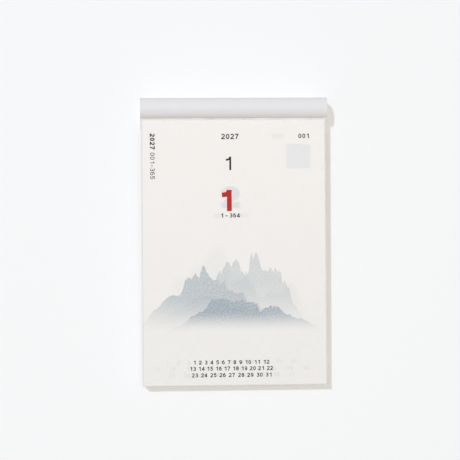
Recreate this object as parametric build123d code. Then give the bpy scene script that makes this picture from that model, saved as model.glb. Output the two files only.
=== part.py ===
from build123d import *
import os
from math import sin

# Tear-off day calendar for one year: a block of thin day sheets on a board, stitched along the top under a
# half-round header roll, and hung on a wall by a hole in its back.
# Frame: +X to the reader's right, +Y into the wall, +Z up. The origin is the mouth of the hanging hole, at
# its centre, in the plane of the wall. All sizes are in millimetres.

# ---- driving dimensions ----
header_width = 120.0
overall_height = 185.0
header_height = 13.0        # of the half-round roll, seen from the front
pad_width = 118.5
sheet_thickness = 0.034     # thin calendar paper of about 28 g/m2
sheets_in_month = {
    "january": 31, "february": 28, "march": 31, "april": 30, "may": 31, "june": 30,
    "july": 31, "august": 31, "september": 30, "october": 31, "november": 30, "december": 31,
}
board_thickness = 1.5
wrap_thickness = 0.6        # the white card strip that forms the header
flap_height = 19.0          # of the strip's glued end, down the back of the board
loose_leaves = 3            # the first days, each a sheet of its own

hang_hole_drop = 7.0        # from the top of the header to the hole's centre
hang_hole_radius = 3.0      # drilled through flap, board and sheets, and closed in front by the header

tear_line_drop = 1.0        # from the header's lower edge to the perforation
tie_width = 0.8             # the uncut paper between two slits of the perforation
slit_length = 2.2
slit_height = 0.2
edge_strip_height = 4.0     # the stretch of a lifted sheet that stays flat, above its fold

wire_width = 0.9            # flat stitching wire
wire_thickness = 0.5
stitch_spacing = 68.0       # centre to centre of the two stitches
stitch_crown = 12.0
stitch_clinch = 4.6         # each leg's bent end, behind the board
stitch_bend = 0.8
stitch_height = -1.2        # of the stitches, from the hanging hole's centre
wire_gap = 0.04             # round a wire in its hole

hem_end_gap = 0.4           # between the strip's hemmed end and the turn above it
core_gap = 0.08             # between the roll's core and the strip round it
core_recess = 0.8           # of the core's ends inside the roll's ends
side_notch = 0.35           # where a row of slits runs out at the sheets' side edges
jog_side = 0.12             # how far a month's sheets are knocked up out of line
jog_down = 0.07

# ---- levels worked out from them ----
z_top = hang_hole_drop
z_bottom = z_top - overall_height
z_lip = z_top - header_height
z_stub_top = z_top - wrap_thickness
z_tear = z_lip - tear_line_drop
z_fold = z_tear - edge_strip_height
roll_radius = header_height / 2
z_roll = z_top - roll_radius

sheets_in_block = {**sheets_in_month, "january": sheets_in_month["january"] - loose_leaves}
y_board_back = -wrap_thickness
y_board_front = y_board_back - board_thickness
y_pad_front = y_board_front - sheet_thickness * sum(sheets_in_month.values())
y_hem_front = y_pad_front - wrap_thickness
y_crown = y_hem_front - wire_thickness / 2 - wire_gap / 2
y_clinch = y_board_back - wire_thickness / 2 - wire_gap / 2


def slab(width, y_back, y_front, z_low, z_high, x_mid=0.0):
    """A flat block between two planes of depth and two of height."""
    middle = Pos(x_mid, (y_back + y_front) / 2, (z_low + z_high) / 2)
    return middle * Box(width, y_back - y_front, z_high - z_low)


def section(y_back, y_front, z_low, z_high):
    """A rectangle in the plane of the header's section, whose axes are Y and Z."""
    middle = Pos((y_back + y_front) / 2, (z_low + z_high) / 2)
    return middle * Rectangle(y_back - y_front, z_high - z_low)


def half_round(radius, y_flat):
    """The front half of the roll's section, cut off flat at a depth."""
    disc = Pos(y_pad_front, z_roll) * Circle(radius)
    return disc & section(y_flat, y_pad_front - 2 * radius, z_roll - 2 * radius, z_roll + 2 * radius)


def stitch(x_mid, room=0.0):
    """One wire stitch: the crown in front, a leg each side and both ends clinched inwards behind. Room all
    round it makes the channel that it lies in."""
    left = x_mid - stitch_crown / 2
    right = x_mid + stitch_crown / 2
    route = FilletPolyline(
        (left + stitch_clinch, y_clinch, stitch_height),
        (left, y_clinch, stitch_height),
        (left, y_crown, stitch_height),
        (right, y_crown, stitch_height),
        (right, y_clinch, stitch_height),
        (right - stitch_clinch, y_clinch, stitch_height),
        radius=stitch_bend,
    )
    wire_end = Rectangle(wire_width + 2 * room, wire_thickness + 2 * room)
    return sweep(Plane(origin=route @ 0, x_dir=(0, 0, 1), z_dir=route % 0) * wire_end, path=route)


def stitch_middles():
    return [-stitch_spacing / 2, stitch_spacing / 2]


def stitch_channels():
    """The space that both stitches take, with room round the wire."""
    return [stitch(x, wire_gap) for x in stitch_middles()]


def leg_holes(y_back, y_front):
    """The four holes that the stitches' legs pass through in the sheets."""
    middles = stitch_middles()
    places = [x + side * stitch_crown / 2 for x in middles for side in (-1, 1)]
    width = wire_thickness + 2 * wire_gap
    z_low = stitch_height - wire_width / 2 - wire_gap
    z_high = stitch_height + wire_width / 2 + wire_gap
    return [slab(width, y_back, y_front, z_low, z_high, x) for x in places]


def hang_hole(y_back, y_front):
    """The stretch of the hanging hole between two planes of depth."""
    middle = Pos(0, (y_back + y_front) / 2, 0)
    return middle * Rot(90, 0, 0) * Cylinder(hang_hole_radius, y_back - y_front)


def slits(y_back, y_front):
    """The perforation's slits, evenly spaced along the tear line, with a tie at each end."""
    pitch = slit_length + tie_width
    count = int((pad_width - tie_width) // pitch)
    middles = [(i - (count - 1) / 2) * pitch for i in range(count)]
    return [slab(slit_length, y_back, y_front, z_tear - slit_height, z_tear, x) for x in middles]


def side_notches(y_back, y_front, x_mid):
    """The small nicks that the perforation leaves in the side edges of the sheets."""
    z_low = z_tear - slit_height
    reach = pad_width / 2 - side_notch / 2
    return [slab(side_notch, y_back, y_front, z_low, z_tear, x_mid + side * reach) for side in (-1, 1)]


def bound_through(y_back, y_front):
    """What is drilled and pierced through every sheet along its bound edge."""
    return [hang_hole(y_back, y_front), *leg_holes(y_back, y_front)]


def month_sheets(y_back, count, order):
    """A month's sheets as one block from the bound edge to the foot, knocked up slightly out of line."""
    y_front = y_back - count * sheet_thickness
    x_mid = jog_side * sin(2.4 * order)
    foot = z_bottom + jog_down * (1 + sin(1.7 * order))
    block = slab(pad_width, y_back, y_front, foot, z_stub_top, x_mid)
    block -= bound_through(y_back, y_front)
    return block - side_notches(y_back, y_front, x_mid)


def leaf_stub(y_back, y_front):
    """The part of one sheet that stays bound when its day has been torn off."""
    return slab(pad_width, y_back, y_front, z_tear, z_stub_top) - bound_through(y_back, y_front)


def leaf(y_back, y_front):
    """One day's sheet below the tear line, with the ties of the perforation along its top."""
    return slab(pad_width, y_back, y_front, z_bottom, z_tear) - slits(y_back, y_front)


def backing_board():
    """Grey board as large as the sheets, punched for hanging and channelled by the clinched wires."""
    board = slab(pad_width, y_board_back, y_board_front, z_bottom, z_stub_top)
    board -= hang_hole(y_board_back, y_board_front)
    return board - stitch_channels()


def header_wrap():
    """The strip that is hemmed in front of the stubs, rolled forward and up round the core, and taken over
    the top and down the back."""
    tube = half_round(roll_radius, y_pad_front) - half_round(roll_radius - wrap_thickness, y_hem_front)
    tube -= section(y_pad_front, y_hem_front, z_stub_top - hem_end_gap, z_stub_top)
    top = section(0, y_pad_front, z_stub_top, z_top)
    flap = section(0, y_board_back, z_top - flap_height, z_top)
    outline = tube + top + flap
    corners = outline.vertices()
    back_fold = corners.sort_by_distance((0, z_top, 0))[0]
    lip_fold = corners.sort_by_distance((y_pad_front, z_lip, 0))[0]
    outline = fillet([back_fold, lip_fold], wrap_thickness * 0.8)
    strip = extrude(Plane.YZ * outline, header_width / 2, both=True)
    strip -= hang_hole(0, y_board_back)
    return strip - stitch_channels()


def header_core():
    """The half-round strip of pressed board inside the roll, with a pocket over each stitch's crown."""
    outline = half_round(roll_radius - wrap_thickness - core_gap, y_hem_front - core_gap)
    core = extrude(Plane.YZ * outline, header_width / 2 - core_recess, both=True)
    pocket_width = stitch_crown + 3 * wire_thickness
    pocket_front = y_hem_front - wire_thickness - 3 * wire_gap
    z_low, z_high = stitch_height - wire_width, stitch_height + wire_width
    return core - [slab(pocket_width, y_hem_front, pocket_front, z_low, z_high, x) for x in stitch_middles()]


def build():
    """Every piece of the calendar, by its name."""
    pieces = {
        "backing_board": backing_board(),
        "header_wrap": header_wrap(),
        "header_core": header_core(),
    }
    for side, x in zip(("left", "right"), stitch_middles()):
        pieces[f"wire_stitch_{side}"] = stitch(x)

    y = y_board_front
    for order, (month, count) in enumerate(reversed(sheets_in_block.items())):
        pieces[f"{month}_sheets"] = month_sheets(y, count, order)
        y_block_back = y
        y -= count * sheet_thickness
    # Every sheet is perforated. The slits are cut where the tear line can be seen, in the front block.
    pieces["january_sheets"] -= slits(y_block_back, y)

    for day in range(loose_leaves, 0, -1):
        y_front = y - sheet_thickness
        pieces[f"leaf_{day:02d}_stub"] = leaf_stub(y, y_front)
        pieces[f"leaf_{day:02d}"] = leaf(y, y_front)
        y = y_front

    # The first day's sheet folds below its torn edge, so the two are cut apart at the fold.
    first = pieces["leaf_01"]
    y_back = y + sheet_thickness
    pieces["leaf_01_torn_edge"] = first & slab(pad_width, y_back, y, z_fold, z_tear)
    pieces["leaf_01"] = first & slab(pad_width, y_back, y, z_bottom, z_fold)
    return pieces


os.makedirs("parts", exist_ok=True)
for name, shape in build().items():
    export_step(shape, f"parts/{name}.step")
print("tear line z", round(z_tear, 3), "fold z", round(z_fold, 3), "pad front y", round(y_pad_front, 3))
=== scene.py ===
"""Looks of a tear-off day calendar on a wall: its loose sheets, printed figures, finishes and stage."""
from collections import namedtuple
from math import cos, pi, radians, sin

import bmesh
import bpy
from bpy.props import FloatProperty, FloatVectorProperty, IntProperty, PointerProperty
from mathutils import Matrix, Vector
from mathutils.geometry import delaunay_2d_cdt


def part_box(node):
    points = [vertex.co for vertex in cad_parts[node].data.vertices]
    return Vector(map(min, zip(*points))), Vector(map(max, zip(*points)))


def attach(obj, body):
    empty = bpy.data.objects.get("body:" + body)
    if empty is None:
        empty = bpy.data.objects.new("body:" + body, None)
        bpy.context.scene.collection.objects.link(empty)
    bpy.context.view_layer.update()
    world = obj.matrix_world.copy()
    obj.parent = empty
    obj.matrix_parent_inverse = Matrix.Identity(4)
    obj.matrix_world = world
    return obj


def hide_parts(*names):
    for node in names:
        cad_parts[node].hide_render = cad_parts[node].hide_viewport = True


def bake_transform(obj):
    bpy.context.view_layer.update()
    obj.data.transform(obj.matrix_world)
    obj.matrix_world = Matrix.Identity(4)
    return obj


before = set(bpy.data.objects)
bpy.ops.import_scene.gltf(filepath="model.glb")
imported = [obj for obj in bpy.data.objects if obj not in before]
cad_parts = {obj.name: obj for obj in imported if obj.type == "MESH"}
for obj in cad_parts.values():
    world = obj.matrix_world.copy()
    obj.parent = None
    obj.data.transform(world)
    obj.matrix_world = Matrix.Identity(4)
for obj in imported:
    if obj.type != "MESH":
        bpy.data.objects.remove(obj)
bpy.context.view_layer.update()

bl_info = {
    "name": "Tear-off Day Calendar",
    "version": (1, 0, 0),
    "blender": (4, 5, 0),
    "location": "3D View > Sidebar > Calendar",
    "description": "Dresses a tear-off day calendar: sheets, printed figures, finishes and a wall to hang on",
    "category": "Object",
}

MM = 0.001
MONTHS = (
    "january", "february", "march", "april", "may", "june",
    "july", "august", "september", "october", "november", "december",
)

# ---- levels and planes, from the frame ----
SHEET_LOW, SHEET_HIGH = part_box("leaf_02")
TEAR_LINE = SHEET_HIGH.z
FOLD_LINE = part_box("leaf_01")[1].z
FOOT = SHEET_LOW.z
HALF_SHEET = SHEET_HIGH.x
SHEET_PITCH = SHEET_HIGH.y - SHEET_LOW.y
BLOCK_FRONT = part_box("january_sheets")[0].y
HALF_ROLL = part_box("header_wrap")[1].x
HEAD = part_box("header_wrap")[1].z

# ---- the loose sheets, nearest the reader first ----
# Each stands for CAD nodes, and names two bodies and a level for a bend between them. It is printed for the
# day that is so many ahead of the first, and has a share of the bow and the curl that are set below.
LooseSheet = namedtuple("LooseSheet", "piece stands_for bodies bend_from day_ahead stands_off")
LOOSE_SHEETS = (
    LooseSheet(
        piece="first_day_sheet",
        stands_for=("leaf_01_torn_edge", "leaf_01"),
        bodies=("first_sheet_edge", "first_sheet"),
        bend_from=FOLD_LINE,
        day_ahead=0,
        stands_off=1.0,
    ),
    LooseSheet(
        piece="second_day_sheet",
        stands_for=("leaf_02",),
        bodies=("third_sheet", "second_sheet"),
        bend_from=TEAR_LINE,
        day_ahead=1,
        stands_off=0.5,
    ),
    LooseSheet(
        piece="third_day_sheet",
        stands_for=("leaf_03",),
        bodies=("block", "third_sheet"),
        bend_from=TEAR_LINE,
        day_ahead=2,
        stands_off=0.2,
    ),
)
SHEET_BODY = 0.75           # share of a sheet's pitch that its paper takes, so that two sheets share no face
SLIT_LENGTH = 2.2 * MM      # of a slit of the perforation
TIE_WIDTH = 0.8 * MM        # of the uncut paper between two slits
SLIT_HEIGHT = 0.06 * MM     # a cut that takes no paper away
ROW_IN_BEND = 1.0 * MM      # between rows of the mesh where a lifted sheet bends
ROW_BELOW = 4.0 * MM        # between rows of its flat part
ROW_AT_FOOT = 1.0 * MM      # between rows where it bows and curls
FOOT_ROWS_FROM = 14 * MM    # above the foot

# ---- printed figures: places to the right of the sheet's middle, levels above the hanging hole ----
PRINTED_DAYS = ("first_day", "second_day", "third_day", "fourth_day")
PRINT_MIDDLE = -2.4 * MM    # the print's middle lies this far from the sheet's
SIDE_LINE = -52.3 * MM      # the line of figures down the left side
INK_STANDS = 0.004 * MM     # how far a film of ink stands in front of the paper
INK_ROOTS = 0.002 * MM      # how far it reaches into the paper
FIGURE_WIDTH = 0.68         # of a figure's height
FIGURE_GAP = 0.16           # between two figures, of their height
REGULAR, MEDIUM, BOLD, HEAVY = 0.14, 0.19, 0.225, 0.26    # stroke widths, of a figure's height
SMALL_FIGURE = 6 * MM       # the height up to which a figure's curves are coarse
FINE_CURVE, COARSE_CURVE = 24, 8                          # segments of a half turn
SAME_CORNER = 1e-7          # metres between two corners that count as one
TINTED_SQUARE = (41.6 * MM, -30.8 * MM, 15.5 * MM)        # the place and level of its middle, and its side
MONTH_LINES = (             # the first day of each line, its level, and its width on odd and on even days
    (1, -163.0 * MM, 49 * MM, 84 * MM),
    (13, -167.0 * MM, 53.5 * MM, 101 * MM),
    (23, -171.2 * MM, 51.5 * MM, 81 * MM),
)
# A line of numbers at a place on the sheet. One with spaces has a width, and its spaces spread to fill it.
Line = namedtuple("Line", "figures middle level height stroke width turned stretch", defaults=(0, False, 1))

# ---- the picture on each sheet ----
HILLS = (                   # middle, half width, crest above the mist, all in mm, and density of the ink
    (12, 40, 58, 0.5),
    (-16, 44, 43, 0.75),
    (9, 50, 25, 1.0),
)
MIST = 34 * MM              # the level, above the foot of the sheet, where the hills fade out
FOOT_SHADE_HEIGHT = 150 * MM      # of the painted shade that darkens the sheet's foot, from the foot up to where it ends
FOOT_SHADE_STRENGTH = 0.06        # share of ink in that painted shade at the foot

# ---- the stage: directions from the calendar to its lights, then the wall and the camera ----
KEY_FROM = (-0.30, -1.0, 0.29)
FRONT_FROM = (-0.03, -1.0, 0.05)
BACK_FROM = (0.2, 1.0, 0.3)
WARM_FROM = (0.8, 0.0, -0.6)
WHITE = (1.0, 1.0, 1.0)
WALL_REACH = 2.5            # metres of wall to each side of the hanging hole
WALL_BAND = 1.0 * MM        # inside the calendar's outline, where the band starts that lets light by
WALL_OPENING = 3 * MM       # inside the calendar's outline, where the wall ends
CAMERA_AT = Vector((-62.5, -1060.0, -87.5)) * MM
CAMERA_YAW, CAMERA_PITCH, CAMERA_ROLL = radians(-3.269), radians(0.516), radians(-0.445)
LENS, SENSOR = 127.5, 36    # focal length and sensor width, in millimetres


# ================================================================ settings


def linear(hex_colour):
    """The linear colour of an sRGB hex value."""
    parts = [int(hex_colour[i:i + 2], 16) / 255 for i in (1, 3, 5)]
    return tuple(c / 12.92 if c <= 0.04045 else ((c + 0.055) / 1.055) ** 2.4 for c in parts)


def colour_setting(name, description, hex_colour):
    return FloatVectorProperty(
        name=name, description=description, default=linear(hex_colour), subtype="COLOR", size=3, min=0, max=1
    )


def length_setting(name, description, millimetres):
    return FloatProperty(
        name=name, description=description, default=millimetres * MM, min=0, subtype="DISTANCE", unit="LENGTH"
    )


def share_setting(name, description, share):
    return FloatProperty(name=name, description=description, default=share, min=0, max=1, subtype="FACTOR")


def number_setting(name, description, number, least, most):
    return IntProperty(name=name, description=description, default=number, min=least, max=most)


class CalendarSheets(bpy.types.PropertyGroup):
    """Form and finish of the sheets"""

    bend: length_setting("Bend", "Length over which a lifted sheet bends", 22)
    foot_bow: length_setting("Foot bow", "How far the first sheet stands off the pad at its foot", 0.3)
    corner_lift: length_setting("Corner lift", "How far the first sheet's lower left corner curls up", 0.9)
    corner_reach: length_setting("Corner reach", "How far from its tip that corner curls", 9)
    opacity: share_setting("Opacity", "Share of the next sheet's print that a sheet hides", 0.82)
    paper: colour_setting("Paper", "Face of a sheet", "#FAF6F2")
    edge: colour_setting("Cut edge", "Guillotined edge of the block", "#F9F7F2")


class CalendarPrint(bpy.types.PropertyGroup):
    """What is printed on the sheets"""

    year: number_setting("Year", "Year printed at the head of each sheet", 2027, 1, 9999)
    month: number_setting("Month", "Month printed below the year", 1, 1, 12)
    first_day: number_setting("First day", "The first sheet's day, counted from the year's start", 1, 1, 28)
    days_in_month: number_setting("Days in month", "Days in the three lines at the foot", 31, 28, 31)
    days_in_year: number_setting("Days in year", "Sheets in the year", 365, 365, 366)
    black: colour_setting("Black", "Ink of the small figures", "#2B2726")
    red: colour_setting("Red", "Ink of a holiday's or a Sunday's figure", "#B8281E")
    blue: colour_setting("Blue", "Ink of a Saturday's figure", "#44699F")
    grey: colour_setting("Grey", "Ink of the tinted square", "#9DB0C8")
    picture: colour_setting("Picture", "Ink of the picture", "#92A3AE")


class CalendarBoards(bpy.types.PropertyGroup):
    """Colours of the header, the board and the wire"""

    card: colour_setting("Card", "Coated face of the header strip", "#EBE9EA")
    card_core: colour_setting("Card core", "Cut edge of the header strip", "#D9D6CF")
    core: colour_setting("Roll core", "Pressed board in the roll", "#B9AE9B")
    grey_board: colour_setting("Grey board", "Backing board", "#A7A29A")
    wire: colour_setting("Wire", "Zinc on the stitching wire", "#C9CBCD")


class CalendarStage(bpy.types.PropertyGroup):
    """The wall and its light"""

    wall: colour_setting("Wall", "Wall paint", "#FCFCFC")
    foot_gap: length_setting("Foot gap", "From the back of the calendar's foot to the wall", 0.1)
    head_gap: length_setting("Head gap", "From the back of the calendar's head to the wall", 2.3)
    ambient: share_setting("Ambient", "Light on the wall from all round, as a share of white", 0.51)
    frontal: share_setting("Frontal", "How much stronger that light is from ahead than from aside", 0.3)
    cool: colour_setting("Cool side", "Light that comes from the lamp's side of the room", "#FFFDFA")
    warm: colour_setting("Warm side", "Light that comes from the other side of the room", "#FFF8ED")
    key: share_setting("Key", "Light on the wall from the key lamp, as a share of white", 0.305)
    key_colour: colour_setting("Key colour", "Colour of the key lamp", "#DBEBFF")
    key_size: length_setting("Key size", "Diameter of the key lamp", 150)
    front: share_setting("Front", "Light on the wall from the soft lamp ahead, as a share of white", 0.22)
    front_colour: colour_setting("Front colour", "Colour of the soft lamp ahead", "#FFFAF1")
    front_size: length_setting("Front size", "Diameter of the soft lamps ahead and behind", 300)
    back: share_setting("Back", "Light on the back from the lamp behind, as a share of white", 0.36)
    lamp_distance: length_setting("Lamp distance", "From the calendar to each lamp", 5000)


# ================================================================ node and mesh helpers


def add(tree, kind, feeds=(), out=0, **settings):
    """Add one shader node, set its properties, fill or link its inputs, and return one of its outputs.
    In a colour Mix, sockets 6 and 7 are the two colours and output 2 is the mixture. In a MapRange, sockets 1
    and 2 are the range of the value, and 3 and 4 that of the result."""
    made = tree.nodes.new("ShaderNode" + kind)
    for name, value in settings.items():
        setattr(made, name, value)
    for socket, value in dict(feeds).items():
        if isinstance(value, bpy.types.NodeSocket):
            tree.links.new(value, made.inputs[socket])
        else:
            made.inputs[socket].default_value = value
    return made.outputs[out] if made.outputs else made


def opaque(colour):
    return (*colour, 1.0)


def shaded(colour, share):
    """That colour, darker or paler by a factor, with no part of it above 1."""
    return tuple(min(1, c * share) for c in colour)


def per(millimetres):
    """The texture scale at which a pattern's features are that far apart."""
    return 1 / (millimetres * MM)


def new_material(name):
    made = bpy.data.materials.new(name)
    made.use_nodes = True
    made.node_tree.nodes.clear()
    return made, made.node_tree


def dress(objects, material):
    """Give each object one material."""
    for shown in objects:
        shown.data.materials.clear()
        shown.data.materials.append(material)


def new_object(name, bm, smooth=False):
    """A mesh object of that name from a bmesh, with its normals outwards."""
    bmesh.ops.recalc_face_normals(bm, faces=bm.faces)
    mesh = bpy.data.meshes.new(name)
    bm.to_mesh(mesh)
    bm.free()
    mesh.polygons.foreach_set("use_smooth", [smooth] * len(mesh.polygons))
    made = bpy.data.objects.new(name, mesh)
    bpy.context.scene.collection.objects.link(made)
    return made


def thicken(bm, depth):
    """Turn an open front face into a closed solid that reaches that far towards the wall."""
    grown = bmesh.ops.extrude_face_region(bm, geom=bm.faces[:], use_keep_orig=True)
    moved = [v for v in grown["geom"] if isinstance(v, bmesh.types.BMVert)]
    bmesh.ops.translate(bm, verts=moved, vec=(0, depth, 0))


# ================================================================ form of the loose sheets


def steps(start, stop, step):
    """Evenly spaced levels from start down to stop, both included, about one step apart."""
    count = max(1, round((start - stop) / step))
    return [start + (stop - start) * i / count for i in range(count + 1)]


def sheet_rows(sheets):
    """Levels of a loose sheet's rows, close together in the bend and at the foot. All sheets share them."""
    bend_end = FOLD_LINE - sheets.bend
    foot_rows = FOOT + FOOT_ROWS_FROM
    rows = [TEAR_LINE, *steps(TEAR_LINE - SLIT_HEIGHT, bend_end, ROW_IN_BEND)]
    rows += steps(bend_end, foot_rows, ROW_BELOW)[1:]
    return rows + steps(foot_rows, FOOT, ROW_AT_FOOT)[1:]


def sheet_columns():
    """Positions across a sheet where a slit of the perforation starts or ends, and its two sides."""
    pitch = SLIT_LENGTH + TIE_WIDTH
    count = int((2 * HALF_SHEET - TIE_WIDTH) // pitch)
    middles = [(i - (count - 1) / 2) * pitch for i in range(count)]
    cuts = [x + side * SLIT_LENGTH / 2 for x in middles for side in (-1, 1)]
    return [-HALF_SHEET, *cuts, HALF_SHEET]


def stand_off(sheets, share, x, z):
    """How far a sheet stands off the pad: a slight bow towards its foot, and a curled lower left corner."""
    down = (TEAR_LINE - z) / (TEAR_LINE - FOOT)
    across = 0.65 + 0.35 * cos(pi * x / HALF_SHEET)       # full at the middle, less than a third at the sides
    bow = sheets.foot_bow * down ** 3 * across
    from_tip = ((x + HALF_SHEET) + (z - FOOT)) / sheets.corner_reach
    curl = sheets.corner_lift * max(0, 1 - from_tip) ** 2
    return share * (bow + curl)


def front_of(day_ahead):
    """The plane of a day's printed face. The fourth day's is the front of the block."""
    return BLOCK_FRONT - (len(LOOSE_SHEETS) - day_ahead) * SHEET_PITCH


def loose_sheet(sheet, sheets):
    """One day's sheet: a thin closed solid with the ties of the perforation along its top edge."""
    rows, columns = sheet_rows(sheets), sheet_columns()
    front = front_of(sheet.day_ahead)
    bm = bmesh.new()
    grid = [
        [bm.verts.new((x, front - stand_off(sheets, sheet.stands_off, x, z), z)) for x in columns]
        for z in rows
    ]
    for row in range(len(rows) - 1):
        for column in range(len(columns) - 1):
            # The slits lie in the first row, between its ties.
            in_slit = row == 0 and column % 2 == 1
            if not in_slit:
                above, below = grid[row], grid[row + 1]
                bm.faces.new((above[column], below[column], below[column + 1], above[column + 1]))
    bmesh.ops.delete(bm, geom=[v for v in bm.verts if not v.link_faces], context="VERTS")
    thicken(bm, SHEET_PITCH * SHEET_BODY)
    flat = bm.loops.layers.uv.new("sheet")
    for face in bm.faces:
        for loop in face.loops:
            x, _, z = loop.vert.co
            loop[flat].uv = (x / (2 * HALF_SHEET) + 0.5, (z - FOOT) / (TEAR_LINE - FOOT))
    return new_object(sheet.piece, bm, smooth=True)


def bend_with(piece):
    """Bake a loose sheet's, or its ink's, placement into its mesh."""
    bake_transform(piece)


# ================================================================ form of the printed figures


def arc(x, z, half_width, half_height, start, stop, count):
    """Points along an ellipse from one angle to another, in degrees."""
    angles = [radians(start + (stop - start) * i / count) for i in range(count + 1)]
    return [Vector((x + half_width * cos(a), z + half_height * sin(a))) for a in angles]


def line(*points):
    return [Vector(p) for p in points]


def strokes_of(figure, width, count):
    """Centre lines of one figure's strokes, for a height of 1. Count is the segments of a half turn."""
    half = width / 2
    wide = FIGURE_WIDTH
    mid, side = wide / 2, wide / 2 - half
    low, high = half, 1 - half     # of the centre lines at the foot and at the head
    waist, hip = 0.525, 0.63       # where the bowls of 3 and 8 meet, and the top of 6's bowl

    def bowl(foot, head, inset, start, stop):
        segments = max(4, round(count * abs(stop - start) / 180))
        return arc(mid, (foot + head) / 2, side - inset, (head - foot) / 2, start, stop, segments)

    def ring(foot, head, inset=0.0):
        """Two arcs of slightly over half a turn each, so that they overlap."""
        return [bowl(foot, head, inset, -90, 92), bowl(foot, head, inset, 90, 272)]

    if figure == "0":
        return ring(low, high)
    if figure == "1":
        stem = wide - 0.1 - half
        shoulder = line((stem + half * 0.2, 1.02), (stem - 0.05, 0.87), (stem - 0.14, 0.785))
        return [line((stem, 0), (stem, 1)), shoulder + line((stem - 0.28 - half * 0.6, 0.76))]
    if figure == "2":
        top = bowl(0.46, high, 0, 168, -32)
        return [top + line((half * 1.3, width * 0.8)), line((0, low), (wide, low))]
    if figure == "3":
        upper, lower = bowl(waist, high, 0.02, 158, -90), bowl(low, waist, 0, 90, -160)
        return [upper, lower, line((mid, waist), (mid - 0.1, waist))]
    if figure == "4":
        stem = wide * 0.74
        slope = line((stem, 1 - half * 0.6), (half * 0.7, 0.29))
        return [line((stem, 0), (stem, 1)), slope, line((0, 0.27), (wide, 0.27))]
    if figure == "5":
        roof = line((0.1, high), (wide - 0.05, high))
        post = line((0.08 + half, 1), (0.04 + half, 0.45))
        return [roof, post, bowl(low, 0.645, 0, 140, -158)]
    if figure == "6":
        return [*ring(low, hip), bowl(low, high, 0, 180, 48)]
    if figure == "7":
        leg = line((wide - half, high), (wide * 0.6, 0.56), (wide * 0.33, -0.05))
        return [line((0, high), (wide, high)), leg]
    if figure == "8":
        return [*ring(waist, high, 0.025), *ring(low, waist)]
    if figure == "9":
        return [[Vector((wide, 1)) - p for p in path] for path in strokes_of("6", width, count)]
    if figure == "-":
        return [line((0.08, 0.4), (wide - 0.08, 0.4))]
    return []


def ribbon(path, width):
    """The outline of a stroke along a path, cut square at both ends."""
    left, right = [], []
    for i, point in enumerate(path):
        along = (path[min(i + 1, len(path) - 1)] - path[max(i - 1, 0)]).normalized()
        across = Vector((-along.y, along.x)) * width / 2
        left.append(point + across)
        right.append(point - across)
    return right + left[::-1]


def figure_faces(figure, width, count):
    """Corners and triangles of one flat figure, with its strokes merged where they cross."""
    corners, outlines = [], []
    for path in strokes_of(figure, width, count):
        outline = ribbon(path, width)
        outlines.append(list(range(len(corners), len(corners) + len(outline))))
        corners += outline
    if not outlines:
        return [], []
    # Type 0 gives every triangle of the plane, and for each the strokes that it lies in.
    points, _, triangles, _, _, strokes_over = delaunay_2d_cdt(corners, [], outlines, 0, 1e-5)
    return points, [triangle for triangle, strokes in zip(triangles, strokes_over) if strokes]


def figure_places(text):
    """Where each figure of a line starts, in figure heights, with spaces as wide as the line's width asks."""
    step = FIGURE_WIDTH + FIGURE_GAP
    spaces = text.figures.count(" ")
    printed = (len(text.figures) - spaces) * step - FIGURE_GAP
    space = (text.width / text.height - printed) / spaces if spaces else 0
    places, at = [], 0.0
    for figure in text.figures:
        places.append(at)
        at += space if figure == " " else step
    return places


def set_line(bm, text):
    """Add one line of figures to a bmesh, flat in the sheet's plane, with its ink centred on its place."""
    count = FINE_CURVE if text.height > SMALL_FIGURE else COARSE_CURVE
    made, faces = [], []
    for place, figure in zip(figure_places(text), text.figures):
        corners, triangles = figure_faces(figure, text.stroke, count)
        faces += [[len(made) + i for i in triangle] for triangle in triangles]
        # Strokes that run past the foot or the head of the line end level with it.
        made += [
            Vector(((place + corner.x) * text.stretch, min(max(corner.y, 0), 1) - 0.5)) * text.height
            for corner in corners
        ]
    centre = (min(p.x for p in made) + max(p.x for p in made)) / 2
    verts = []
    for point in made:
        along, up = point.x - centre, point.y
        across, rise = (up, -along) if text.turned else (along, up)
        verts.append(bm.verts.new((text.middle + across, 0, text.level + rise)))
    for face in faces:
        bm.faces.new([verts[i] for i in face])


def ink_film(name, lines, squares, front, rows, sheets, share):
    """A print in one ink: thin closed films that lie on the paper, with a cut at each of the sheet's rows."""
    bm = bmesh.new()
    for text in lines:
        set_line(bm, text)
    for x, z, size in squares:
        corners = [(-1, -1), (1, -1), (1, 1), (-1, 1)]
        bm.faces.new([bm.verts.new((x + a * size / 2, 0, z + b * size / 2)) for a, b in corners])
    top = max(v.co.z for v in bm.verts)
    foot = min(v.co.z for v in bm.verts)
    for z in rows:
        if foot < z < top:
            whole = bm.verts[:] + bm.edges[:] + bm.faces[:]
            bmesh.ops.bisect_plane(bm, geom=whole, dist=SAME_CORNER, plane_co=(0, 0, z), plane_no=(0, 0, 1))
    for v in bm.verts:
        v.co.y = front - INK_STANDS - stand_off(sheets, share, v.co.x, v.co.z)
    thicken(bm, INK_STANDS + INK_ROOTS)
    return new_object(name, bm)


def month_rows(prints, day):
    """The month's days, in three centred lines at the foot of the sheet."""
    rows = []
    afters = [first for first, *_ in MONTH_LINES[1:]] + [prints.days_in_month + 1]
    for (first, level, odd_width, even_width), after in zip(MONTH_LINES, afters):
        figures = " ".join(str(n) for n in range(first, after))
        width = odd_width if day % 2 else even_width
        rows.append(Line(figures, PRINT_MIDDLE, level, 2.6 * MM, MEDIUM, width))
    return rows


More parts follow.
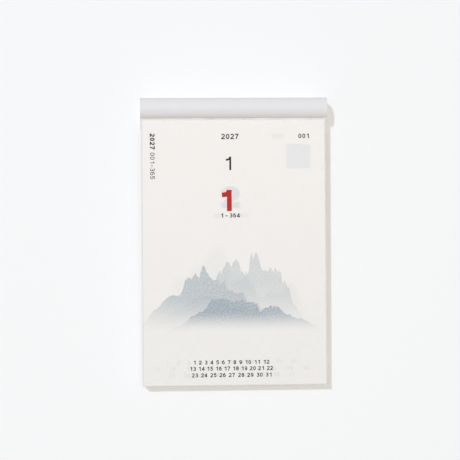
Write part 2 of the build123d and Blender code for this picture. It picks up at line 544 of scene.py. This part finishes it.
def small_figures(prints, day):
    """Every line in black on one day's sheet: the year, the month, the day's number, the days that are left
    and the month's days. Odd and even days are set differently, so that one ghosts beside the other."""
    left = prints.days_in_year - day
    if day % 2:
        count, count_width, corner = f"{day} - {left}", 12.4 * MM, 45.2 * MM
    else:
        count, count_width, corner = f"{day:03d} - {left}", 21.2 * MM, 28.5 * MM
    # Each line's figures, middle, level, height and stroke, and the width that its spaces fill.
    return [
        Line(str(prints.year), PRINT_MIDDLE, -17.9 * MM, 3.5 * MM, MEDIUM),
        Line(str(prints.month), PRINT_MIDDLE - 1.0 * MM, -35.2 * MM, 8.7 * MM, REGULAR),
        Line(count, PRINT_MIDDLE, -68.7 * MM, 2.8 * MM, MEDIUM, count_width),
        Line(f"{day:03d}", corner, -17.7 * MM, 3.0 * MM, MEDIUM),
        Line(str(prints.year), SIDE_LINE, -20.9 * MM, 3.2 * MM, BOLD, turned=True),
        Line(f"001 - {prints.days_in_year}", SIDE_LINE, -36.6 * MM, 3.0 * MM, REGULAR, 17 * MM, turned=True),
        *month_rows(prints, day),
    ]


def large_figure(day):
    """The day's number, large, in the middle. The 1 is lower, narrower and lighter than the rest."""
    if day == 1:
        return Line("1", PRINT_MIDDLE - 2.3 * MM, -59.1 * MM, 13.7 * MM, BOLD)
    return Line(str(day), PRINT_MIDDLE, -57.0 * MM, 14.0 * MM, HEAVY, stretch=1.3)


# ================================================================ finishes


def wood_free_paper_calendered(name, sheets, prints, seed):
    """Thin calendered paper, offset printed. To the eye it is matt and warm white, slightly cloudy where its
    fibres lie thicker, and faintly see-through, so that the next sheet's print ghosts through it."""
    made, tree = new_material(name)
    place = add(tree, "UVMap", uv_map="sheet")
    flat = add(tree, "Mapping", {"Vector": place, "Scale": (2 * HALF_SHEET, TEAR_LINE - FOOT, 1)})
    across = add(tree, "SeparateXYZ", {0: flat})
    up = across.node.outputs[1]
    # Clouds of thicker fibre, 3 mm apart.
    clouds = add(tree, "TexNoise", {"Vector": flat, "Scale": per(3), "Detail": 3.0})
    cloudy = add(tree, "MapRange", {0: clouds, 1: 0.35, 2: 0.7, 3: 0.0, 4: 0.35})
    thick = shaded(sheets.paper, 0.97)
    bare = add(tree, "Mix", {0: cloudy, 6: opaque(sheets.paper), 7: opaque(thick)}, 2, data_type="RGBA")
    printed = picture(tree, prints, bare, flat, across, up, seed)
    # The tooth of the paper, 0.1 mm apart, is drawn at 0.4 mm so that it shows.
    tooth = add(tree, "TexNoise", {"Vector": flat, "Scale": per(0.4), "Detail": 2.0})
    rough = add(tree, "MapRange", {0: tooth, 3: 0.78, 4: 0.92})
    fine = add(tree, "Bump", {"Strength": 0.25, "Distance": 0.01 * MM, "Height": tooth}, "Normal")
    # Thin paper cockles slightly, in waves 25 mm apart.
    waves = add(tree, "TexNoise", {"Vector": flat, "Scale": per(25), "Detail": 1.0})
    cockle = {"Strength": 0.3, "Distance": 0.25 * MM, "Height": waves, "Normal": fine}
    cockled = add(tree, "Bump", cockle, "Normal")
    # What is seen through a sheet is seen through its front face and its back face.
    each_face = 1 - (1 - sheets.opacity) ** 0.5
    shader = add(tree, "BsdfPrincipled", {
        "Base Color": printed, "Roughness": rough, "IOR": 1.5, "Specular IOR Level": 0.25,
        "Alpha": each_face, "Normal": cockled,
    })
    # Light reaches a sheet through the one that lies on it, as it does through thin paper.
    path = add(tree, "LightPath").node.outputs
    lamps, air = path["Is Shadow Ray"], path["Is Diffuse Ray"]
    lamps_or_air = add(tree, "Math", {0: lamps, 1: air}, operation="MAXIMUM")
    near = add(tree, "MapRange", {0: path["Ray Length"], 1: 0.6 * MM, 2: 2.0 * MM, 3: 1.0, 4: 0.0})
    passing = add(tree, "Math", {0: lamps_or_air, 1: near}, operation="MULTIPLY")
    clear = add(tree, "BsdfTransparent")
    add(tree, "OutputMaterial", {0: add(tree, "MixShader", {0: passing, 1: shader, 2: clear})})
    return made


def picture(tree, prints, bare, flat, across, up, seed):
    """A generic picture on a sheet: three misty hills in one pale ink, each fading towards its foot, over a
    painted shade that darkens the whole sheet towards its foot.
    """
    ink = opaque(prints.picture)
    grain = add(tree, "TexNoise", {"Vector": flat, "Scale": per(0.9), "Detail": 4.0, "Roughness": 0.7})
    speck = add(tree, "MapRange", {0: grain, 1: 0.38, 2: 0.62, 3: 0.55, 4: 1.0})
    # Painted shade: a faint tone of the same ink darkens the sheet towards its foot, and thins out upwards.
    shade_fading = {0: up, 1: 0.0, 2: FOOT_SHADE_HEIGHT, 3: FOOT_SHADE_STRENGTH, 4: 0.0}
    foot_shade = add(tree, "MapRange", shade_fading, interpolation_type="SMOOTHSTEP")
    foot_shaded = add(tree, "Mix", {0: foot_shade, 6: bare, 7: ink}, 2, data_type="RGBA")
    shown = foot_shaded
    for i, (middle, half, crest, density) in enumerate(HILLS):
        # The hills of every other day lie the other way round.
        place = (PRINT_MIDDLE + HALF_SHEET) + middle * MM * (1 if seed % 2 else -1)
        # Across a hill its height follows a bell, which is full at its middle and ends at its half width.
        from_middle = {0: across, 1: place, 2: place + half * MM, 3: 0.0, 4: 1.0}
        aside = add(tree, "MapRange", from_middle, clamp=False)
        squared = add(tree, "Math", {0: aside, 1: aside}, operation="MULTIPLY")
        bell = add(tree, "Math", {0: 1.0, 1: squared}, operation="SUBTRACT")
        rise = add(tree, "Math", {0: bell, 1: 0.0}, operation="MAXIMUM")
        # Its crags come from a stretch of noise of its own, and reach from 0.45 to 1.15 of its crest.
        moved = add(tree, "Math", {0: across, 1: 1.7 * seed + 0.9 * i}, operation="ADD")
        jagged = {"W": moved, "Scale": per(16 + 5 * i), "Detail": 6.0, "Roughness": 0.5, "Distortion": 0.2}
        crags = add(tree, "TexNoise", jagged, noise_dimensions="1D")
        reach = {0: crags, 1: 0.25, 2: 0.75, 3: 0.45 * crest * MM, 4: 1.15 * crest * MM}
        uneven = add(tree, "MapRange", reach)
        height = add(tree, "Math", {0: uneven, 1: rise}, operation="MULTIPLY")
        top = add(tree, "Math", {0: height, 1: MIST}, operation="ADD")
        inside = add(tree, "Math", {0: up, 1: top}, operation="LESS_THAN")
        # The ink thickens from the mist to its full density at 0.6 of the crest.
        fading = {0: up, 1: MIST, 2: MIST + 0.6 * crest * MM, 3: 0.0, 4: density}
        fade = add(tree, "MapRange", fading, interpolation_type="SMOOTHSTEP")
        inked = add(tree, "Math", {0: fade, 1: speck}, operation="MULTIPLY")
        hill = add(tree, "Mix", {0: inked, 6: foot_shaded, 7: ink}, 2, data_type="RGBA")
        shown = add(tree, "Mix", {0: inside, 6: shown, 7: hill}, 2, data_type="RGBA")
    return shown


def wood_free_paper_guillotined(sheets):
    """The year's sheets as one guillotined block of wood-free paper. Its sides show the sheets' edges as fine
    bands of light and shade."""
    made, tree = new_material("wood_free_paper_guillotined")
    place = add(tree, "TexCoord", out="Object")
    # The edges lie 0.034 mm apart, and are drawn 0.5 mm apart so that they show. Each is even for 250 mm.
    edges = add(tree, "Mapping", {"Vector": place, "Scale": (per(250), per(0.5), per(250))})
    bands = add(tree, "TexNoise", {"Vector": edges, "Scale": 1.0, "Detail": 3.0, "Roughness": 0.7})
    clouds = add(tree, "TexNoise", {"Vector": place, "Scale": per(9), "Detail": 2.0})
    both = add(tree, "Math", {0: bands, 1: clouds}, operation="MULTIPLY")
    shade = add(tree, "MapRange", {0: both, 1: 0.12, 2: 0.4, 3: 1.0, 4: 0.0})
    dark = shaded(sheets.edge, 0.8)
    colour = add(tree, "Mix", {0: shade, 6: opaque(sheets.edge), 7: opaque(dark)}, 2, data_type="RGBA")
    relief = add(tree, "Bump", {"Strength": 0.5, "Distance": 0.04 * MM, "Height": bands}, "Normal")
    rough = add(tree, "MapRange", {0: bands, 3: 0.8, 4: 0.95})
    shader = add(tree, "BsdfPrincipled", {
        "Base Color": colour, "Roughness": rough, "IOR": 1.5, "Specular IOR Level": 0.25, "Normal": relief,
    })
    add(tree, "OutputMaterial", {0: shader})
    return made


def coated_card_rolled(boards):
    """White clay-coated card, creased and rolled. A matt coat with a soft, wide highlight along the roll, the
    raw fibre showing where the strip is cut."""
    made, tree = new_material("coated_card_rolled")
    place = add(tree, "TexCoord", out="Object")
    parts = add(tree, "SeparateXYZ", {0: place})
    out_from_middle = add(tree, "Math", {0: parts}, operation="ABSOLUTE")
    cut = add(tree, "MapRange", {0: out_from_middle, 1: HALF_ROLL - 0.12 * MM, 2: HALF_ROLL - 0.02 * MM})
    # The coat is cloudy at 6 mm. Its grain, 0.35 mm apart, runs along the strip.
    clouds = add(tree, "TexNoise", {"Vector": place, "Scale": per(6), "Detail": 2.0})
    cloudy = add(tree, "MapRange", {0: clouds, 1: 0.3, 2: 0.7, 3: 0.0, 4: 0.5})
    dull = shaded(boards.card, 0.97)
    coat = add(tree, "Mix", {0: cloudy, 6: opaque(boards.card), 7: opaque(dull)}, 2, data_type="RGBA")
    colour = add(tree, "Mix", {0: cut, 6: coat, 7: opaque(boards.card_core)}, 2, data_type="RGBA")
    lie = add(tree, "Mapping", {"Vector": place, "Scale": (per(3), per(0.35), per(0.35))})
    grain = add(tree, "TexNoise", {"Vector": lie, "Scale": 1.0, "Detail": 2.0})
    rough = add(tree, "MapRange", {0: grain, 3: 0.5, 4: 0.64})
    relief = add(tree, "Bump", {"Strength": 0.2, "Distance": 0.012 * MM, "Height": grain}, "Normal")
    shader = add(tree, "BsdfPrincipled", {
        "Base Color": colour, "Roughness": rough, "IOR": 1.5, "Specular IOR Level": 0.2, "Normal": relief,
    })
    add(tree, "OutputMaterial", {0: shader})
    return made


def fibre_board(name, colour, fleck_size, fleck_strength):
    """Board pressed from recycled fibre: dull, slightly rough, and flecked with darker and paler fibres whose
    size is in millimetres."""
    made, tree = new_material(name)
    place = add(tree, "TexCoord", out="Object")
    clouds = add(tree, "TexNoise", {"Vector": place, "Scale": per(fleck_size * 6), "Detail": 3.0})
    fibres = {"Vector": place, "Scale": per(fleck_size), "Detail": 4.0, "Roughness": 0.7}
    flecks = add(tree, "TexNoise", fibres)
    dark = shaded(colour, 1 - fleck_strength)
    pale = shaded(colour, 1 + fleck_strength * 0.6)
    cloudy = add(tree, "MapRange", {0: clouds, 1: 0.3, 2: 0.7, 3: 0.0, 4: 0.6})
    base = add(tree, "Mix", {0: cloudy, 6: opaque(colour), 7: opaque(pale)}, 2, data_type="RGBA")
    flecked = add(tree, "MapRange", {0: flecks, 1: 0.56, 2: 0.66})
    shown = add(tree, "Mix", {0: flecked, 6: base, 7: opaque(dark)}, 2, data_type="RGBA")
    rough = add(tree, "MapRange", {0: flecks, 3: 0.82, 4: 0.96})
    relief = add(tree, "Bump", {"Strength": 0.4, "Distance": 0.05 * MM, "Height": flecks}, "Normal")
    shader = add(tree, "BsdfPrincipled", {
        "Base Color": shown, "Roughness": rough, "IOR": 1.5, "Specular IOR Level": 0.2, "Normal": relief,
    })
    add(tree, "OutputMaterial", {0: shader})
    return made


def steel_wire_galvanised(boards):
    """Flat stitching wire of galvanised steel: a grey metal, half matt, whose zinc has duller patches."""
    made, tree = new_material("steel_wire_galvanised")
    place = add(tree, "TexCoord", out="Object")
    # The patches are 0.8 mm apart, about the width of the wire.
    patches = add(tree, "TexNoise", {"Vector": place, "Scale": per(0.8), "Detail": 3.0})
    rough = add(tree, "MapRange", {0: patches, 1: 0.3, 2: 0.7, 3: 0.28, 4: 0.5})
    dull = shaded(boards.wire, 0.8)
    colour = add(tree, "Mix", {0: patches, 6: opaque(boards.wire), 7: opaque(dull)}, 2, data_type="RGBA")
    relief = add(tree, "Bump", {"Strength": 0.3, "Distance": 0.01 * MM, "Height": patches}, "Normal")
    shader = add(tree, "BsdfPrincipled", {
        "Base Color": colour, "Metallic": 1.0, "Roughness": rough, "Normal": relief,
    })
    add(tree, "OutputMaterial", {0: shader})
    return made


def offset_ink(name, colour):
    """Offset ink on uncoated paper: a flat, matt film that sinks in unevenly, so that it looks mottled."""
    made, tree = new_material(name)
    place = add(tree, "TexCoord", out="Object")
    # Ink mottles at 0.5 mm on uncoated paper, where a little of the paper shows through.
    mottle = add(tree, "TexNoise", {"Vector": place, "Scale": per(0.5), "Detail": 3.0})
    paler = add(tree, "MapRange", {0: mottle, 1: 0.4, 2: 0.75, 3: 0.0, 4: 0.06})
    below = linear("#E7E7E7")
    shown = add(tree, "Mix", {0: paler, 6: opaque(colour), 7: opaque(below)}, 2, data_type="RGBA")
    rough = add(tree, "MapRange", {0: mottle, 3: 0.6, 4: 0.8})
    shader = add(tree, "BsdfPrincipled", {
        "Base Color": shown, "Roughness": rough, "IOR": 1.5, "Specular IOR Level": 0.15,
    })
    add(tree, "OutputMaterial", {0: shader})
    return made


def wall_paint_matt(name, stage, lets_light_by):
    """Matt white emulsion, slightly stippled by the roller. It is clear from behind, for views of the back. A
    wall that lets light by is clear to all but the camera, so that light reaches the board behind it."""
    made, tree = new_material(name)
    place = add(tree, "TexCoord", out="Object")
    # A roller's stipple, 1.5 mm apart.
    stipple = add(tree, "TexNoise", {"Vector": place, "Scale": per(1.5), "Detail": 2.0})
    relief = add(tree, "Bump", {"Strength": 0.05, "Distance": 0.02 * MM, "Height": stipple}, "Normal")
    shader = add(tree, "BsdfDiffuse", {"Color": opaque(stage.wall), "Normal": relief})
    unseen = add(tree, "NewGeometry", out="Backfacing")
    if lets_light_by:
        camera = add(tree, "LightPath", out="Is Camera Ray")
        others = add(tree, "Math", {0: 1.0, 1: camera}, operation="SUBTRACT")
        unseen = add(tree, "Math", {0: unseen, 1: others}, operation="MAXIMUM")
    clear = add(tree, "BsdfTransparent")
    add(tree, "OutputMaterial", {0: add(tree, "MixShader", {0: unseen, 1: shader, 2: clear})})
    return made


# ================================================================ operators


class CALENDAR_OT_header(bpy.types.Operator):
    """Finish the header strip and the core of its roll"""

    bl_idname = "calendar.header"
    bl_label = "Header roll"

    def execute(self, context):
        boards = context.scene.calendar_boards
        dress([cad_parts["header_wrap"]], coated_card_rolled(boards))
        dress([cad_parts["header_core"]], fibre_board("core_board_pressed", boards.core, 0.7, 0.3))
        return {"FINISHED"}


class CALENDAR_OT_backing_board(bpy.types.Operator):
    """Finish the grey backing board"""

    bl_idname = "calendar.backing_board"
    bl_label = "Backing board"

    def execute(self, context):
        colour = context.scene.calendar_boards.grey_board
        dress([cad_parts["backing_board"]], fibre_board("grey_board_die_cut", colour, 0.9, 0.35))
        return {"FINISHED"}


class CALENDAR_OT_wire_stitches(bpy.types.Operator):
    """Finish the two wire stitches"""

    bl_idname = "calendar.wire_stitches"
    bl_label = "Wire stitches"

    def execute(self, context):
        stitches = [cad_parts[f"wire_stitch_{side}"] for side in ("left", "right")]
        dress(stitches, steel_wire_galvanised(context.scene.calendar_boards))
        return {"FINISHED"}


class CALENDAR_OT_sheet_block(bpy.types.Operator):
    """Finish the twelve months' blocks and the bound stubs of the loose sheets"""

    bl_idname = "calendar.sheet_block"
    bl_label = "Block of sheets"

    def execute(self, context):
        names = [f"{month}_sheets" for month in MONTHS] + [f"leaf_{n:02d}_stub" for n in (1, 2, 3)]
        paper = wood_free_paper_guillotined(context.scene.calendar_sheets)
        dress([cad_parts[name] for name in names], paper)
        return {"FINISHED"}


class CALENDAR_OT_day_sheets(bpy.types.Operator):
    """Make the first three days' loose sheets"""

    bl_idname = "calendar.day_sheets"
    bl_label = "Day sheets"

    def execute(self, context):
        sheets, prints = context.scene.calendar_sheets, context.scene.calendar_print
        for sheet in LOOSE_SHEETS:
            piece = loose_sheet(sheet, sheets)
            number = sheet.day_ahead + 1
            paper = wood_free_paper_calendered(f"wood_free_paper_calendered_{number}", sheets, prints, number)
            dress([piece], paper)
            bend_with(piece)
            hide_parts(*sheet.stands_for)
        return {"FINISHED"}


class CALENDAR_OT_print(bpy.types.Operator):
    """Print the figures on the loose sheets and on the front of the block"""

    bl_idname = "calendar.print"
    bl_label = "Printed figures"

    def execute(self, context):
        sheets, prints = context.scene.calendar_sheets, context.scene.calendar_print
        black = offset_ink("offset_ink_black", prints.black)
        grey = offset_ink("offset_ink_grey", prints.grey)
        red = offset_ink("offset_ink_red", prints.red)
        blue = offset_ink("offset_ink_blue", prints.blue)
        day_inks = (red, blue, red, black)      # a holiday, a Saturday, a Sunday and a weekday
        rows = sheet_rows(sheets)
        for ahead, (name, day_ink) in enumerate(zip(PRINTED_DAYS, day_inks)):
            loose = LOOSE_SHEETS[ahead] if ahead < len(LOOSE_SHEETS) else None
            share = loose.stands_off if loose else 0
            day = prints.first_day + ahead
            film = (front_of(ahead), rows, sheets, share)
            parts = [
                (ink_film(f"{name}_small_figures", small_figures(prints, day), [], *film), black),
                (ink_film(f"{name}_large_figure", [large_figure(day)], [], *film), day_ink),
            ]
            # The second day's sheet also has a tinted square, which ghosts through the first day's.
            if name == "second_day":
                parts.append((ink_film(f"{name}_tinted_square", [], [TINTED_SQUARE], *film), grey))
            for piece, ink in parts:
                dress([piece], ink)
                if loose:
                    bend_with(piece)
                else:
                    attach(piece, "block")
        return {"FINISHED"}


class CALENDAR_OT_stage(bpy.types.Operator):
    """Set up the wall, the lamps, the air and the camera"""

    bl_idname = "calendar.stage"
    bl_label = "Stage"

    def execute(self, context):
        stage = context.scene.calendar_stage
        distance = stage.lamp_distance
        hang_wall(stage)
        light_air(context.scene, stage)
        hang_lamp("key_lamp", KEY_FROM, distance, stage.key_size, stage.key, stage.key_colour)
        hang_lamp("front_lamp", FRONT_FROM, distance, stage.front_size, stage.front, stage.front_colour)
        hang_lamp("back_lamp", BACK_FROM, distance, stage.front_size, stage.back, WHITE)
        set_camera(context.scene)
        context.scene.view_settings.view_transform = "Standard"
        return {"FINISHED"}


def hang_wall(stage):
    """A plain wall behind the calendar, which hangs with its foot against it and its head slightly off it.
    The wall has an opening behind the calendar, so that the back can be looked at. Round the opening, also
    behind the calendar, lies a band of wall that lets light by."""
    lean = (stage.head_gap - stage.foot_gap) / (TEAR_LINE - FOOT)

    def ring(side, low, high):
        corners = [(-side, low), (side, low), (side, high), (-side, high)]
        return [bm.verts.new((x, stage.foot_gap + lean * (z - FOOT), z)) for x, z in corners]

    bm = bmesh.new()
    rings = [ring(WALL_REACH, -WALL_REACH, WALL_REACH)]
    rings += [ring(HALF_SHEET - inset, FOOT + inset, HEAD - inset) for inset in (WALL_BAND, WALL_OPENING)]
    for band, (outer, inner) in enumerate(zip(rings, rings[1:])):
        for i in range(4):
            after = (i + 1) % 4
            bm.faces.new((outer[i], outer[after], inner[after], inner[i])).material_index = band
    mesh = bpy.data.meshes.new("wall")
    bm.to_mesh(mesh)
    bm.free()
    mesh.materials.append(wall_paint_matt("wall_paint_matt", stage, False))
    mesh.materials.append(wall_paint_matt("wall_paint_matt_behind", stage, True))
    wall = bpy.data.objects.new("wall", mesh)
    bpy.context.scene.collection.objects.link(wall)


def light_air(scene, stage):
    """Soft light from all round, stronger from ahead and behind than from aside, and warmer from low on the
    right, away from the key lamp. The camera, and what mirrors or refracts, sees plain white."""
    air = bpy.data.worlds.new("studio_air")
    scene.world = air
    air.use_nodes = True
    tree = air.node_tree
    tree.nodes.clear()
    direction = add(tree, "TexCoord", out="Generated")
    low_right = add(tree, "VectorMath", {0: direction, 1: WARM_FROM}, "Value", operation="DOT_PRODUCT")
    warmth = add(tree, "MapRange", {0: low_right, 1: -1.0, 2: 1.0})
    ahead = add(tree, "Math", {0: add(tree, "SeparateXYZ", {0: direction}, "Y")}, operation="ABSOLUTE")
    # The light that a wall gets comes from 2/3 of the way ahead on average, so this keeps its sum.
    aside = stage.ambient / (1 + stage.frontal * 2 / 3)
    level = add(tree, "MapRange", {0: ahead, 3: aside, 4: aside * (1 + stage.frontal)})
    path = add(tree, "LightPath").node.outputs
    glossy, clear = path["Is Glossy Ray"], path["Is Transmission Ray"]
    mirrored = add(tree, "Math", {0: glossy, 1: clear}, operation="MAXIMUM")
    seen = add(tree, "Math", {0: path["Is Camera Ray"], 1: mirrored}, operation="MAXIMUM")
    tinted = add(tree, "Mix", {0: warmth, 6: opaque(stage.cool), 7: opaque(stage.warm)}, 2, data_type="RGBA")
    colour = add(tree, "Mix", {0: seen, 6: tinted, 7: opaque(WHITE)}, 2, data_type="RGBA")
    strength = add(tree, "Mix", {0: seen, 2: level, 3: 1.0})
    add(tree, "OutputWorld", {0: add(tree, "Background", {0: colour, 1: strength})})


def hang_lamp(name, direction, distance, size, share, colour):
    """A round lamp that lights the calendar's front or back to a share of white. Its power is what makes a
    white wall there, lit by it alone, look that bright."""
    towards = Vector(direction).normalized()
    middle = Vector((0, 0, (TEAR_LINE + FOOT) / 2))
    light = bpy.data.lights.new(name, "AREA")
    light.shape = "DISK"
    light.size = size
    light.color = colour
    light.energy = share * pi * pi * distance ** 2 / abs(towards.y)
    made = bpy.data.objects.new(name, light)
    bpy.context.scene.collection.objects.link(made)
    aim = towards.to_track_quat("Z", "Y").to_matrix().to_4x4()
    made.matrix_world = Matrix.Translation(middle + towards * distance) @ aim


def set_camera(scene):
    """The photograph's view: from slightly left of the calendar, level with its middle."""
    lens = bpy.data.cameras.new("camera")
    lens.sensor_width = SENSOR
    lens.lens = LENS
    camera = bpy.data.objects.new("camera", lens)
    scene.collection.objects.link(camera)
    camera.matrix_world = (
        Matrix.Translation(CAMERA_AT)
        @ Matrix.Rotation(CAMERA_YAW, 4, "Z")
        @ Matrix.Rotation(pi / 2 + CAMERA_PITCH, 4, "X")
        @ Matrix.Rotation(CAMERA_ROLL, 4, "Z")
    )
    scene.camera = camera


class CALENDAR_PT_sidebar(bpy.types.Panel):
    """Every piece of the calendar, with its settings"""

    bl_label = "Day Calendar"
    bl_space_type = "VIEW_3D"
    bl_region_type = "UI"
    bl_category = "Calendar"

    def draw(self, context):
        for group, _, operators in GROUPS:
            box = self.layout.box()
            settings = getattr(context.scene, group)
            for name in settings.__annotations__:
                box.prop(settings, name)
            for operator in operators:
                box.operator(operator.bl_idname)


# Each group's name, its settings, and its operators in the order in which they run.
GROUPS = (
    (
        "calendar_boards",
        CalendarBoards,
        (CALENDAR_OT_header, CALENDAR_OT_backing_board, CALENDAR_OT_wire_stitches),
    ),
    ("calendar_sheets", CalendarSheets, (CALENDAR_OT_sheet_block, CALENDAR_OT_day_sheets)),
    ("calendar_print", CalendarPrint, (CALENDAR_OT_print,)),
    ("calendar_stage", CalendarStage, (CALENDAR_OT_stage,)),
)
OPERATORS = [operator for _, _, operators in GROUPS for operator in operators]
CLASSES = [*(settings for _, settings, _ in GROUPS), *OPERATORS, CALENDAR_PT_sidebar]


def register():
    for cls in CLASSES:
        bpy.utils.register_class(cls)
    for name, settings, _ in GROUPS:
        setattr(bpy.types.Scene, name, PointerProperty(type=settings))


def unregister():
    for name, _, _ in GROUPS:
        delattr(bpy.types.Scene, name)
    for cls in reversed(CLASSES):
        bpy.utils.unregister_class(cls)


def main():
    register()
    for operator in OPERATORS:
        group, name = operator.bl_idname.split(".")
        getattr(getattr(bpy.ops, group), name)()


if __name__ == "__main__":
    main()
